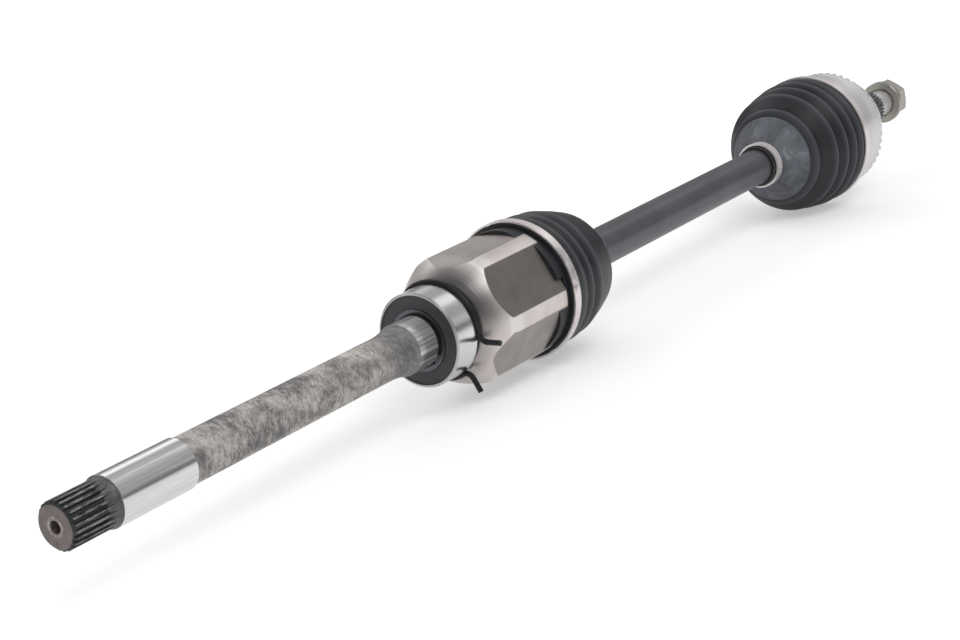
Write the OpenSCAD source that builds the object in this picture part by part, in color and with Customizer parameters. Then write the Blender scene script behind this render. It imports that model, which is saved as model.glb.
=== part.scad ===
// Front drive shaft with an intermediate shaft, a support bearing, a tripod
// plunging joint and a fixed ball joint. The shaft axis lies along X, the
// gearbox is towards -X and the wheel towards +X. The origin is the centre of
// the support bearing.

/* [Gearbox stub] */
// Major diameter of the gearbox spline
spline_d = 28.2; // [27:0.1:29.4]
// Depth of the gearbox spline teeth
spline_tooth_h = 1.5; // [1:0.1:2]
// Number of gearbox spline teeth
spline_teeth = 23; // [18:1:26]
// Length of the gearbox spline
spline_len = 26; // [18:1:34]
// Length of the cone between the spline and the seal journal
collar_len = 8; // [5:0.5:12]
// Diameter of the journal that the gearbox oil seal runs on
journal_d = 30.8; // [30:0.1:33]
// Length of the seal journal
journal_len = 58; // [40:1:70]
// Mouth diameter of the centre hole in the gearbox end face
centre_hole_d = 7.6; // [5:0.2:9]

/* [Intermediate shaft] */
// Diameter of the forged shaft
forged_d = 28.4; // [26:0.1:29.8]
// Length of the forged shaft between the journal and the flare
forged_len = 178; // [100:1:300]
// Length of the flare up to the bearing seat
flare_len = 18; // [10:1:26]
// Diameter of the ground seat in front of the bearing
seat_d = 33.8; // [33:0.1:34.6]
// Length of the ground seat in front of the bearing
seat_len = 20; // [12:1:28]

/* [Support bearing] */
// Outer diameter of the support bearing
bearing_d = 62; // [61:0.5:64]
// Bore of the support bearing
bearing_bore_d = 35; // [34.8:0.1:35.6]
// Width of the support bearing
bearing_w = 20.4; // [19.6:0.2:22]
// Diameter of the bearing balls
bearing_ball_d = 8.6; // [8:0.1:9]
// Number of bearing balls
bearing_balls_n = 11; // [8:1:12]
// Thickness of each rubber seal
seal_t = 2.2; // [1.6:0.1:2.6]
// Wire diameter of the bracket snap ring
snap_wire_d = 3.6; // [3:0.1:3.8]
// Free angle between the two hooked ends of the snap ring
snap_gap_deg = 62; // [50:1:70]
// Length of each hooked end of the snap ring
snap_hook_len = 15.2; // [10:0.2:18]

/* [Tripod housing] */
// Largest diameter of the tripod housing
housing_d = 88; // [87:0.5:92]
// Distance from the bearing centre to the open mouth of the housing
housing_mouth_x = 105; // [102:0.5:112]
// Distance from the axis to the three flats over the roller tracks
track_flat_r = 40.4; // [40:0.1:41]
// Distance from the axis to the three flats between the tracks
web_flat_r = 41; // [40.2:0.1:41.6]
// Diameter of the machined rim at the mouth
mouth_rim_d = 84; // [83:0.2:85]
// Length of the machined rim at the mouth
mouth_rim_len = 12; // [10:0.5:14]
// Bore between the roller tracks
housing_bore_d = 50; // [49:0.5:51]

/* [Tripod joint] */
// Distance from the bearing centre to the tripod centre
tripod_x = 71; // [69:0.5:73]
// Radius on which the rollers sit
roller_pitch_r = 25; // [24.6:0.1:25.4]
// Outer diameter of the rollers
roller_d = 33; // [32:0.2:34]
// Width of the rollers
roller_w = 11.6; // [10.6:0.2:11.8]
// Diameter of the trunnions
trunnion_d = 20; // [19:0.2:20.4]
// Diameter of the needles between trunnion and roller
needle_d = 3; // [2.6:0.1:3]
// Travel of the joint towards the gearbox
plunge_in = 18; // [12:1:20]

/* [Centre shaft] */
// Diameter of the centre shaft
shaft_d = 27.4; // [26.6:0.1:28.4]
// Diameter of the splined ends of the centre shaft
shaft_end_d = 25.2; // [24.6:0.1:25.6]
// Distance between the two joint centres
joint_span = 474; // [440:1:700]

/* [Ball joint] */
// Radius on which the joint balls sit
ball_pitch_r = 30.5; // [30.2:0.1:30.8]
// Diameter of the joint balls
cv_ball_d = 17.4; // [17:0.1:17.6]
// Radius of the sphere between the inner race and the cage
cage_in_r = 26.2; // [26:0.1:26.4]
// Radius of the sphere between the cage and the bell
cage_out_r = 32.4; // [32:0.1:32.6]
// Width of the cage along the axis
cage_w = 25; // [23:0.5:26]
// Width of the inner race along the axis
race_w = 26; // [24:0.5:28]
// Outer diameter of the bell
bell_d = 97; // [96:0.5:98]
// Distance from the joint centre to the mouth of the bell
bell_mouth = 17.5; // [16.5:0.5:18.5]
// Distance from the joint centre to the hub shoulder
shoulder_x = 50; // [47:1:54]
// Diameter of the shoulder that meets the wheel bearing
shoulder_d = 46; // [42:1:50]

/* [Wheel stub] */
// Major diameter of the hub spline
hub_spline_d = 29; // [28:0.1:30]
// Depth of the hub spline teeth
hub_tooth_h = 1.2; // [1:0.1:1.6]
// Number of hub spline teeth
hub_teeth = 30; // [24:1:34]
// Length of the hub spline
hub_spline_len = 46; // [40:1:56]
// Major diameter of the stub thread
thread_d = 22; // [20:0.5:24]
// Distance from the hub shoulder to the nut
nut_seat = 72; // [68:1:80]
// Flange diameter of the hub nut
nut_flange_d = 36.2; // [35:0.2:42]
// Width across the flats of the hub nut
nut_af = 30; // [29:0.5:31]
// Height of the hub nut
nut_h = 20; // [16:0.5:24]

/* [Speed sensor ring] */
// Outer diameter of the sensor ring
sensor_d = 96; // [95:0.5:97]
// Width of the sensor ring
sensor_w = 14; // [10:0.5:16]
// Number of sensor ring teeth
sensor_teeth = 48; // [40:1:52]
// Depth of the slots between the teeth
sensor_slot = 4; // [3:0.5:7]

/* [Boots and clamps] */
// Wall of the rubber boots
boot_t = 2; // [1.6:0.1:2.1]
// Thickness of the large clamp bands
band_t = 1.2; // [0.8:0.1:1.6]
// Width of the large clamp bands
band_w = 6.4; // [5:0.2:8]
// Outer diameter of the adapter under the inner boot
adapter_d = 88; // [87.6:0.2:89]
// Length of the inner boot beyond its band
inner_boot_len = 82; // [76:1:90]
// Outer diameter of the first fold of the inner boot
inner_fold_d = 93; // [92:0.5:94]
// Length of the outer boot in front of its band
outer_boot_len = 90; // [84:1:96]
// Outer diameter of the largest fold of the outer boot, before rounding
outer_fold_d = 106.4; // [105.4:0.2:107]

/* [Hidden] */
// Names of all pieces

// Small clearances
run_gap = 0.05;
play = 0.3;
groove_play = 1.7;
window_slack = 2.4;
track_play = 0.6;
skin = 0.02;
cut_over = 1;

// Stations on the gearbox side, counted from the bearing centre
bearing_half = bearing_w / 2;
clip_t = 2;
clip_h = 1.8;
clip_groove = 1;
clip_x = -bearing_half - clip_t - run_gap;
flare_x = -bearing_half - seat_len;
forged_x = flare_x - flare_len;
journal_x = forged_x - forged_len;
collar_x = journal_x - journal_len;
spline_x = collar_x - collar_len;
stub_end_x = spline_x - spline_len;
spline_run_out = 3;
spline_chamfer = 2;
seat_groove_r = seat_d / 2 - clip_groove;
pilot_r = 1.6;
centre_cone_len = (centre_hole_d / 2 - pilot_r) * sqrt(3);
pilot_len = centre_cone_len + 5;
stub_recess = 1;

// Bearing
bearing_pitch_r = (bearing_d + bearing_bore_d) / 4;
ball_r = bearing_ball_d / 2;
land_share = 0.6;
lip_share = 0.93;
inner_land_r = bearing_pitch_r - ball_r * land_share;
outer_land_r = bearing_pitch_r + ball_r * land_share;
ring_lip_r = bearing_pitch_r - ball_r * lip_share;
bearing_chamfer = 1;
seal_seat_r = bearing_d / 2 - bearing_chamfer - 0.7;
seal_inset = 0.6;
seal_x = bearing_half - seal_inset - seal_t;
cage_ring_t = 3.2;
cage_ring_r = bearing_pitch_r - cage_ring_t / 2 - run_gap;
cage_ring_w = bearing_ball_d + cage_ring_t / 2;

// Snap ring behind the bearing
snap_x = bearing_half - bearing_chamfer + snap_wire_d / 2 + run_gap;
snap_r = bearing_half + bearing_d / 2 - bearing_chamfer
    + (snap_wire_d / 2 + run_gap) * sqrt(2) - snap_x;
snap_gap_end = 241.5;
snap_overlap_deg = 0.6;
hook_bend_r = 5.5;
hook_swell = 0.05;
hook_sink = 0.4;

// Housing
housing_r = housing_d / 2;
neck_step = 3.2;
neck_r = bearing_bore_d / 2 + neck_step;
nose_gap = 1;
nose_x = bearing_half + snap_wire_d + nose_gap;
nose_r = 27;
nose_rise = housing_r - nose_r;
nose_turn = 35;
full_x = nose_x + nose_rise;
corner_round = 1.4;
corner_drop = corner_round * tan(nose_turn);
web_round_r = 40;
web_round_len = 6;
web_round_x = full_x + web_round_len;
track_r = roller_d / 2 + track_play;
track_room = 4.7;
track_top_r = roller_pitch_r + roller_w / 2 + track_room;
bend_max = 17;
end_gap = 1;
track_end_x = tripod_x - plunge_in - roller_pitch_r * sin(bend_max) - end_gap;
cavity_room = 24;
cavity_x = tripod_x - plunge_in - cavity_room;
rim_x = housing_mouth_x - mouth_rim_len;
mouth_flare_len = 18;
mouth_flare_h = 6.6;
mouth_chamfer = 1;
track_dirs = [30, 150, 270];

// Tripod
trunnion_r = trunnion_d / 2;
roller_bore_r = trunnion_r + needle_d + 2 * run_gap;
needle_ring_r = trunnion_r + needle_d / 2 + run_gap;
needles_n = floor(2 * PI * needle_ring_r / (needle_d + run_gap));
spider_gap = 0.5;
spider_hub_r = roller_pitch_r - roller_w / 2 - spider_gap;
spider_w = 22;
retainer_t = 1.2;
retainer_r = roller_pitch_r + roller_w / 2 + play;
trunnion_over = 0.6;
trunnion_end_r = retainer_r + retainer_t + trunnion_over;
shaft_over = 4;
shaft_in_x = tripod_x - spider_w / 2 - shaft_over;

// Ball joint
cv_x = tripod_x + joint_span;
cv_ball_r = cv_ball_d / 2;
groove_r = cv_ball_r + groove_play;
cv_balls_n = 6;
groove_reach = 44;
shaft_out_x = cv_x + race_w / 2 + shaft_over;
bell_r = bell_d / 2;
sensor_gap = 7;
sensor_x = cv_x + sensor_gap;
bell_back_x = sensor_x + sensor_w;
sensor_seat_h = 5;
sensor_seat_r = bell_r - sensor_seat_h;
hub_x = cv_x + shoulder_x;
nut_x = hub_x + nut_seat;
hub_pilot_len = 5;
thread_run_out = 3;
thread_x = hub_x + hub_spline_len + 2 * thread_run_out;
thread_over = 3;
stub_x = nut_x + nut_h + thread_over;
edge = 1.4;

// Clamps and boots
adapter_r = adapter_d / 2;
lobe_len = 14;
lobe_sink = 3;
band_inset = 8;
band_x = housing_mouth_x - band_inset;
collar_r = adapter_r + play;
band_r = collar_r + boot_t + play;
small_collar_r = shaft_d / 2 + play;
collar_over = 1;
small_collar_len = 12;
fillet_steps = 2;
boot_fn = 40;
small_band_w = 7;
small_band_t = 1.5;
small_band_lead = 3.6;
small_band_r = small_collar_r + boot_t + play;
inner_end_x = housing_mouth_x + inner_boot_len;
outer_band_gap = 2;
outer_band_x = cv_x - bell_mouth - outer_band_gap;
outer_collar_r = bell_r + play;
outer_band_r = outer_collar_r + boot_t + play;
outer_end_x = outer_band_x - outer_boot_len;

$fn = 96;

// Turns a shape made along Z so that it lies along X
module along_x() {
    rotate([0, 90, 0]) children();
}

// Solid of revolution about X from points [x, r]
module lathe(points) {
    rotate([90, 0, 90])
        rotate_extrude()
            polygon([for (p = points) [p[1], p[0]]]);
}

// Plain ring about X from x0 with inner and outer radius
module ring(x0, length, r_in, r_out) {
    lathe([[x0, r_in], [x0 + length, r_in], [x0 + length, r_out], [x0, r_out]]);
}

// Ring about X with small chamfers on its outer edges
module chamfered_ring(x0, length, r_in, r_out, c) {
    lathe([
        [x0, r_in], [x0 + length, r_in], [x0 + length, r_out - c],
        [x0 + length - c, r_out], [x0 + c, r_out], [x0, r_out - c]
    ]);
}

// Points of one arc, from angle a0 to a1, about [x, r]
function arc(x, r, radius, a0, a1, n) =
    [for (i = [0:n]) let (a = a0 + (a1 - a0) * i / n)
        [x + radius * cos(a), r + radius * sin(a)]];

// Cross-section of a straight-sided spline
module spline_section(major_r, tooth_h, teeth) {
    pitch = 360 / teeth;
    root = 0.34;
    crest = 0.17;
    shares = [-root, -crest, crest, root];
    polygon([for (i = [0:teeth - 1], k = [0:3])
        let (a = (i + shares[k]) * pitch,
             r = abs(shares[k]) == root ? major_r - tooth_h : major_r)
        [r * cos(a), r * sin(a)]]);
}

// One spline along X, chamfered at x0
module spline(x0, length, major_r, tooth_h, teeth, chamfer) {
    intersection() {
        translate([x0, 0, 0])
            rotate([90, 0, 90])
                linear_extrude(length) spline_section(major_r, tooth_h, teeth);
        lathe([
            [x0, 0], [x0 + length, 0], [x0 + length, major_r + cut_over],
            [x0 + chamfer + cut_over, major_r + cut_over], [x0, major_r - chamfer]
        ]);
    }
}

// Wedge that opens a ring about X at its top by gap_deg
module gap_wedge(x0, thick, r_out, gap_deg) {
    half_w = 2 * r_out * sin(gap_deg / 2);
    top = 2 * r_out * cos(gap_deg / 2);
    translate([x0 - cut_over, 0, 0])
        rotate([90, 0, 90])
            linear_extrude(thick + 2 * cut_over)
                polygon([[0, 0], [-half_w, top], [half_w, top]]);
}

// Plain open circlip about X
module open_ring(x0, thick, r_in, r_out, gap_deg) {
    difference() {
        ring(x0, thick, r_in, r_out);
        gap_wedge(x0, thick, r_out, gap_deg);
    }
}

// Open circlip with two eyelets, about X
module circlip(x0, thick, r_in, r_out, gap_deg) {
    eye_r = 2.2;
    eye_step = 0.05;
    eye_deg = gap_deg / 2 + 7;
    difference() {
        union() {
            ring(x0, thick, 0, r_out);
            for (s = [-1, 1])
                rotate([s * eye_deg, 0, 0])
                    translate([x0 + eye_step, 0, r_out])
                        along_x() cylinder(h = thick - 2 * eye_step, r = eye_r);
        }
        ring(x0 - cut_over, thick + 2 * cut_over, 0, r_in);
        for (s = [-1, 1])
            rotate([s * eye_deg, 0, 0])
                translate([x0 - cut_over, 0, r_out])
                    along_x() cylinder(h = thick + 2 * cut_over, r = eye_r / 2);
        gap_wedge(x0, thick, r_out, gap_deg);
    }
}

// Solid outer form of the intermediate shaft, up to the bearing shoulder
module stub_profile() {
    fr = forged_d / 2;
    jr = journal_d / 2;
    sr = seat_d / 2;
    minor_r = spline_d / 2 - spline_tooth_h;
    collar_round = 0.7;
    journal_run_out = 1.6;
    nose_sink = 2;
    steps = 6;
    lathe(concat(
        [
            [stub_end_x + stub_recess, 0], [stub_end_x + stub_recess, minor_r],
            [spline_x, minor_r], [collar_x, jr - collar_round],
            [collar_x + collar_round, jr], [journal_x - journal_run_out, jr],
            [journal_x, fr], [forged_x, fr]
        ],
        [for (i = [1:steps]) let (t = i / steps)
            [forged_x + flare_len * t, fr + (sr - fr) * t * t]],
        [
            [clip_x, sr], [clip_x, seat_groove_r],
            [clip_x + clip_t + run_gap, seat_groove_r],
            [clip_x + clip_t + run_gap, bearing_bore_d / 2],
            [bearing_half, bearing_bore_d / 2], [bearing_half, neck_r],
            [nose_x + nose_sink, neck_r], [nose_x + nose_sink, 0]
        ]));
}

// Centre hole of the end face: a 60 degree cone with a drilled pilot
module centre_hole() {
    mouth_r = centre_hole_d / 2;
    lathe([
        [stub_end_x - cut_over, 0], [stub_end_x - cut_over, mouth_r],
        [stub_end_x, mouth_r], [stub_end_x + centre_cone_len, pilot_r],
        [stub_end_x + pilot_len, pilot_r],
        [stub_end_x + pilot_len + pilot_r / sqrt(3), 0]
    ]);
}

// Outer form of the housing: a domed nose that runs into a six-sided body
module housing_body() {
    steps = 5;
    dome = [for (i = [0:steps]) let (a = nose_turn * i / steps)
        [nose_x + 2 * nose_rise * (1 - cos(a)), nose_r + nose_rise * sin(a)]];
    difference() {
        lathe(concat(
            [[nose_x, 0]], dome,
            [
                [full_x - corner_round, housing_r - corner_drop],
                [full_x, housing_r - corner_drop / 4],
                [full_x + corner_round, housing_r],
                [rim_x, housing_r], [rim_x, mouth_rim_d / 2],
                [housing_mouth_x - mouth_chamfer, mouth_rim_d / 2],
                [housing_mouth_x, mouth_rim_d / 2 - mouth_chamfer], [housing_mouth_x, 0]
            ]));
        for (a = track_dirs)
            rotate([a, 0, 0]) flat_cut(track_flat_r);
        for (a = track_dirs)
            rotate([a + 60, 0, 0]) {
                flat_cut(web_flat_r);
                web_rounding();
            }
    }
}

// Block that leaves a flat at distance r from the axis, facing +Y
module flat_cut(r) {
    translate([nose_x - cut_over, r, -housing_r])
        cube([housing_mouth_x - nose_x + 2 * cut_over, housing_r, housing_d]);
}

// Cut that rounds the front of one web flat downwards, facing +Y
module web_rounding() {
    depth = web_round_r / 5;
    difference() {
        translate([nose_x - cut_over, web_flat_r - depth, -housing_r])
            cube([web_round_x - nose_x + cut_over, depth + cut_over, housing_d]);
        translate([web_round_x, web_flat_r - web_round_r, 0])
            cylinder(h = housing_d + 2 * cut_over, r = web_round_r, center = true);
    }
}

// One roller track, facing +Y, with a round inner end
module roller_track() {
    translate([track_end_x, 0, 0])
        rotate([-90, 0, 0]) cylinder(h = track_top_r, r = track_r);
    translate([track_end_x, 0, -track_r])
        cube([housing_mouth_x - track_end_x + cut_over, track_top_r, 2 * track_r]);
}

module tripod_housing() {
    color("silver") {
        difference() {
            union() {
                stub_profile();
                spline(stub_end_x, spline_len + collar_len - spline_run_out,
                    spline_d / 2, spline_tooth_h, spline_teeth, spline_chamfer);
                housing_body();
            }
            housing_cavity();
            for (a = track_dirs)
                rotate([a, 0, 0]) roller_track();
            centre_hole();
        }
    }
}

// Round hollow of the housing between the tracks, flared at the mouth
module housing_cavity() {
    bottom_round = 4;
    bore_r = housing_bore_d / 2;
    lathe([
        [cavity_x, 0], [cavity_x, bore_r - bottom_round],
        [cavity_x + bottom_round, bore_r],
        [housing_mouth_x - mouth_flare_len, bore_r],
        [housing_mouth_x, bore_r + mouth_flare_h],
        [housing_mouth_x + cut_over, bore_r + mouth_flare_h],
        [housing_mouth_x + cut_over, 0]
    ]);
}

module bearing_circlip() {
    clip_gap_deg = 24;
    color("dimgray")
        rotate([130, 0, 0])
            open_ring(clip_x + run_gap / 2, clip_t, seat_groove_r,
                seat_groove_r + clip_h, clip_gap_deg);
}

module bearing_inner_ring() {
    seal_in = seal_x - play;
    color("silver")
        difference() {
            lathe([
                [-bearing_half, bearing_bore_d / 2], [bearing_half, bearing_bore_d / 2],
                [bearing_half, ring_lip_r], [seal_in, ring_lip_r],
                [seal_in, inner_land_r], [-seal_in, inner_land_r],
                [-seal_in, ring_lip_r], [-bearing_half, ring_lip_r]
            ]);
            rotate([0, 90, 0])
                rotate_extrude()
                    translate([bearing_pitch_r, 0]) circle(r = ball_r + run_gap);
        }
}

module bearing_outer_ring() {
    color("gainsboro")
        difference() {
            lathe([
                [-bearing_half, seal_seat_r], [-seal_x, seal_seat_r],
                [-seal_x, outer_land_r], [seal_x, outer_land_r],
                [seal_x, seal_seat_r], [bearing_half, seal_seat_r],
                [bearing_half, bearing_d / 2 - bearing_chamfer],
                [bearing_half - bearing_chamfer, bearing_d / 2],
                [-bearing_half + bearing_chamfer, bearing_d / 2],
                [-bearing_half, bearing_d / 2 - bearing_chamfer]
            ]);
            rotate([0, 90, 0])
                rotate_extrude()
                    translate([bearing_pitch_r, 0]) circle(r = ball_r + run_gap);
        }
}

// Places one copy at each ball of the support bearing
module at_bearing_balls() {
    for (i = [0:bearing_balls_n - 1])
        rotate([i * 360 / bearing_balls_n, 0, 0])
            translate([0, 0, bearing_pitch_r]) children();
}

module bearing_balls() {
    color("silver")
        at_bearing_balls() sphere(r = ball_r);
}

module bearing_cage() {
    color("goldenrod")
        difference() {
            ring(-cage_ring_w / 2, cage_ring_w, cage_ring_r, cage_ring_r + cage_ring_t);
            at_bearing_balls()
                cylinder(h = 2 * cage_ring_t, r = ball_r + 2 * run_gap, center = true);
        }
}

// Seal disc between the two bearing rings, with a raised lip at its bore
module bearing_seal() {
    lip_r = ring_lip_r + play;
    lip_h = 1.2;
    step = 0.5;
    face_x = seal_x + seal_t;
    lathe([
        [seal_x, lip_r], [face_x, lip_r], [face_x, lip_r + lip_h],
        [face_x - step, lip_r + lip_h + step], [face_x - step, seal_seat_r - 2 * step],
        [face_x, seal_seat_r], [seal_x, seal_seat_r]
    ]);
}

module bearing_seal_front() {
    color("black")
        mirror([1, 0, 0]) bearing_seal();
}

module bearing_seal_rear() {
    color("black")
        bearing_seal();
}

// Hooked end of the snap ring: a quarter bend outwards and a straight tail
module snap_hook() {
    translate([0, snap_r + hook_bend_r, 0])
        rotate([90, 0, 90])
            rotate([0, 0, 90])
                rotate_extrude(angle = 90)
                    translate([hook_bend_r, 0]) circle(r = snap_wire_d / 2 + hook_swell);
    translate([0, snap_r + hook_bend_r - hook_sink, hook_bend_r])
        rotate([-90, 0, 0])
            cylinder(h = snap_hook_len - hook_bend_r + hook_sink, r = snap_wire_d / 2);
}

module bearing_snap_ring() {
    color([0.1, 0.1, 0.1])
        translate([snap_x, 0, 0]) {
            rotate([snap_gap_end - snap_overlap_deg, 0, 0])
                rotate([90, 0, 90])
                    rotate_extrude(angle = 360 - snap_gap_deg + 2 * snap_overlap_deg)
                        translate([snap_r, 0]) circle(r = snap_wire_d / 2);
            rotate([snap_gap_end - snap_gap_deg, 0, 0]) snap_hook();
            rotate([snap_gap_end, 0, 0])
                mirror([0, 0, 1]) snap_hook();
        }
}

// Rubber adapter: round outside, six-sided inside, with lobes on the web flats
module boot_adapter() {
    core_r = 10;
    color([0.12, 0.12, 0.13])
        difference() {
            union() {
                ring(rim_x + play, housing_mouth_x - rim_x - play, core_r, adapter_r);
                for (a = track_dirs)
                    rotate([a + 60, 0, 0]) web_lobe();
                for (a = track_dirs)
                    rotate([a, 0, 0]) track_tab();
            }
            adapter_core();
        }
}

// Room for the machined rim of the housing inside the adapter
module adapter_core() {
    difference() {
        ring(rim_x - lobe_len, mouth_rim_len + lobe_len + cut_over, 0, mouth_rim_d / 2);
        for (a = track_dirs)
            rotate([a, 0, 0]) rim_flat(track_flat_r);
        for (a = track_dirs)
            rotate([a + 60, 0, 0]) rim_flat(web_flat_r);
    }
}

// Slice of adapter that sits on one flat of the housing
module rim_flat(r) {
    translate([rim_x - lobe_len - cut_over, r, -housing_r])
        cube([mouth_rim_len + lobe_len + 3 * cut_over, housing_r, housing_d]);
}

// Lobe that fills the hollow over one web flat, with a scooped front
module web_lobe() {
    scoop_r = 30;
    scoop_depth = 8;
    x0 = rim_x - lobe_len;
    half_w = sqrt(housing_r * housing_r - web_flat_r * web_flat_r) - play;
    difference() {
        intersection() {
            ring(x0, lobe_len + lobe_sink, web_flat_r - cut_over, adapter_r - run_gap);
            translate([x0 - cut_over, web_flat_r + skin, -half_w])
                cube([lobe_len + lobe_sink + 2 * cut_over, housing_r, 2 * half_w]);
        }
        translate([x0 - scoop_r + scoop_depth, 0, 0])
            rotate([-90, 0, 0]) cylinder(h = housing_d, r = scoop_r);
    }
}

// Narrow raised tab on one track flat
module track_tab() {
    tab_len = 5.7;
    tab_share = 0.78;
    half_w = sqrt(housing_r * housing_r - track_flat_r * track_flat_r) - play;
    intersection() {
        ring(rim_x - tab_len, tab_len + lobe_sink, track_flat_r - cut_over,
            adapter_r - run_gap);
        translate([rim_x - tab_len - cut_over, track_flat_r + skin, -half_w])
            cube([tab_len + lobe_sink + 2 * cut_over, housing_r, 2 * half_w * tab_share]);
    }
}

// Band clamp about X with the low ear of its closure at ear_deg from +Y
module band_clamp(x0, w, r_in, t, ear_deg) {
    ear_h = 0.9;
    ear_w = 4;
    ear_share = 0.5;
    ring(x0, w, r_in, r_in + t);
    rotate([ear_deg, 0, 0])
        translate([x0 + w * (1 - ear_share) / 2, r_in + t / 2, -ear_w / 2])
            cube([w * ear_share, t / 2 + ear_h, ear_w]);
}

module inner_large_clamp() {
    color("silver")
        band_clamp(band_x, band_w, band_r, band_t, 176);
}

module inner_small_clamp() {
    color("silver")
        band_clamp(inner_end_x - small_collar_len + small_band_lead,
            small_band_w, small_band_r, small_band_t, 20);
}

module outer_small_clamp() {
    color("silver")
        band_clamp(outer_end_x + small_band_lead, small_band_w, small_band_r,
            small_band_t, 20);
}

module outer_large_clamp() {
    color("silver")
        band_clamp(outer_band_x, band_w, outer_band_r, band_t, 20);
}

// Points of one rounded corner at b, between a and c, with fillet radius b[2]
function fillet(a, b, c) =
    let (u = [a[0] - b[0], a[1] - b[1]] / norm([a[0] - b[0], a[1] - b[1]]),
         v = [c[0] - b[0], c[1] - b[1]] / norm([c[0] - b[0], c[1] - b[1]]),
         half = acos(u * v) / 2,
         m = (u + v) / norm(u + v),
         cen = [b[0], b[1]] + m * b[2] / sin(half),
         side = u[0] * v[1] - u[1] * v[0] > 0 ? -1 : 1,
         turn = 90 - half,
         mid = atan2(-m[1], -m[0]))
    [for (k = [-fillet_steps:fillet_steps]) let (q = mid + side * k * turn / fillet_steps)
        cen + b[2] * [cos(q), sin(q)]];

// Outline through corner points [x, r, fillet], whose ends stay sharp
function rounded(pts) = concat(
    [[pts[0][0], pts[0][1]]],
    [for (i = [1:len(pts) - 2], q = fillet(pts[i - 1], pts[i], pts[i + 1])) q],
    [[pts[len(pts) - 1][0], pts[len(pts) - 1][1]]]);

// Wall of a boot about X from outer points [x, r], t thick
module boot_wall(points, t) {
    n = len(points);
    inner = [for (i = [0:n - 1])
        let (a = points[max(i - 1, 0)],
             b = points[min(i + 1, n - 1)],
             d = norm(b - a))
        [points[i][0] + t * (b[1] - a[1]) / d, points[i][1] - t * (b[0] - a[0]) / d]];
    lathe(concat(points, [for (i = [0:n - 1]) inner[n - 1 - i]]));
}

// Corners of the inner boot: [x from the mouth, r below the first fold, fillet]
inner_corners = [
    [7, 0, 3], [11.5, 1.6, 2.4], [17, 0.4, 2.6], [22, 3, 2.4], [28.5, 1.6, 3],
    [42, 5.3, 14], [54.5, 9.4, 4], [62, 26, 5]
];
inner_r0 = collar_r + boot_t;
inner_outline = rounded(concat(
    [[band_x - collar_over, inner_r0, 0], [housing_mouth_x + 2, inner_r0, 1]],
    [for (c = inner_corners) [housing_mouth_x + c[0], inner_fold_d / 2 - c[1], c[2]]],
    [
        [inner_end_x - small_collar_len, small_collar_r + boot_t, 2],
        [inner_end_x, small_collar_r + boot_t, 0]
    ]));

module inner_boot() {
    color([0.1, 0.1, 0.1])
        boot_wall(inner_outline, boot_t, $fn = boot_fn);
}

// Corners of the outer boot: [x before the band, r below the largest fold, fillet]
outer_corners = [
    [63.5, 19, 2.2], [60.5, 20.2, 1.2], [57.6, 12.4, 2.3], [53.4, 16.8, 1.8],
    [42, 4, 2.6], [36.6, 10.4, 2.2], [28, 1.6, 2.6], [23, 8.2, 2.2],
    [16.2, 0, 2.6], [10.6, 6.2, 2.2], [5.2, 0.8, 2.2]
];
outer_r0 = outer_collar_r + boot_t;
outer_outline = rounded(concat(
    [
        [outer_end_x, small_collar_r + boot_t, 0],
        [outer_end_x + small_collar_len, small_collar_r + boot_t, 2]
    ],
    [for (c = outer_corners) [outer_band_x - c[0], outer_fold_d / 2 - c[1], c[2]]],
    [
        [outer_band_x - 1.2, outer_r0, 0.8],
        [outer_band_x + band_w + collar_over, outer_r0, 0]
    ]));

module outer_boot() {
    color([0.1, 0.1, 0.1])
        boot_wall(outer_outline, boot_t, $fn = boot_fn);
}

// Places one copy along each trunnion, with +Z pointing outwards
module at_trunnions() {
    for (a = track_dirs)
        at_trunnion(a) children();
}

// Frame of one trunnion at angle a, with +Z pointing outwards
module at_trunnion(a) {
    translate([tripod_x, 0, 0])
        rotate([a, 0, 0])
            rotate([-90, 0, 0]) children();
}

module tripod_spider() {
    color("gray")
        difference() {
            union() {
                chamfered_ring(tripod_x - spider_w / 2, spider_w, shaft_end_d / 2,
                    spider_hub_r, 2);
                at_trunnions()
                    cylinder(h = trunnion_end_r, r = trunnion_r);
            }
            ring(tripod_x - spider_w / 2 - cut_over, spider_w + 2 * cut_over, 0,
                shaft_end_d / 2);
        }
}

module roller_needles() {
    needle_len = roller_w - 0.4;
    color("silver")
        at_trunnions()
            for (i = [0:needles_n - 1])
                rotate([0, 0, i * 360 / needles_n])
                    translate([needle_ring_r, 0, roller_pitch_r - needle_len / 2])
                        cylinder(h = needle_len, r = needle_d / 2);
}

module roller_retainers() {
    color("dimgray")
        at_trunnions()
            translate([0, 0, retainer_r])
                difference() {
                    cylinder(h = retainer_t, r = roller_bore_r - 0.2);
                    translate([0, 0, -cut_over])
                        cylinder(h = retainer_t + 2 * cut_over, r = trunnion_r);
                }
}

// Roller with a spherical rim, so that it can tilt in its track
module roller(a) {
    color("silver")
        at_trunnion(a)
            translate([0, 0, roller_pitch_r])
                difference() {
                    intersection() {
                        sphere(r = roller_d / 2);
                        cylinder(h = roller_w, r = roller_d, center = true);
                    }
                    cylinder(h = roller_w + 2 * cut_over, r = roller_bore_r,
                        center = true);
                }
}

module tripod_roller_1() {
    roller(track_dirs[0]);
}

module tripod_roller_2() {
    roller(track_dirs[1]);
}

module tripod_roller_3() {
    roller(track_dirs[2]);
}

module spider_circlip() {
    color("dimgray")
        circlip(tripod_x - spider_w / 2 - clip_t - run_gap, clip_t,
            shaft_end_d / 2 - clip_groove, shaft_end_d / 2 + clip_h, 40);
}

module cv_race_circlip() {
    color("dimgray")
        ring(cv_x + race_w / 2 + run_gap, clip_t, shaft_end_d / 2 - clip_groove,
            shaft_end_d / 2 + clip_groove);
}

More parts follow.
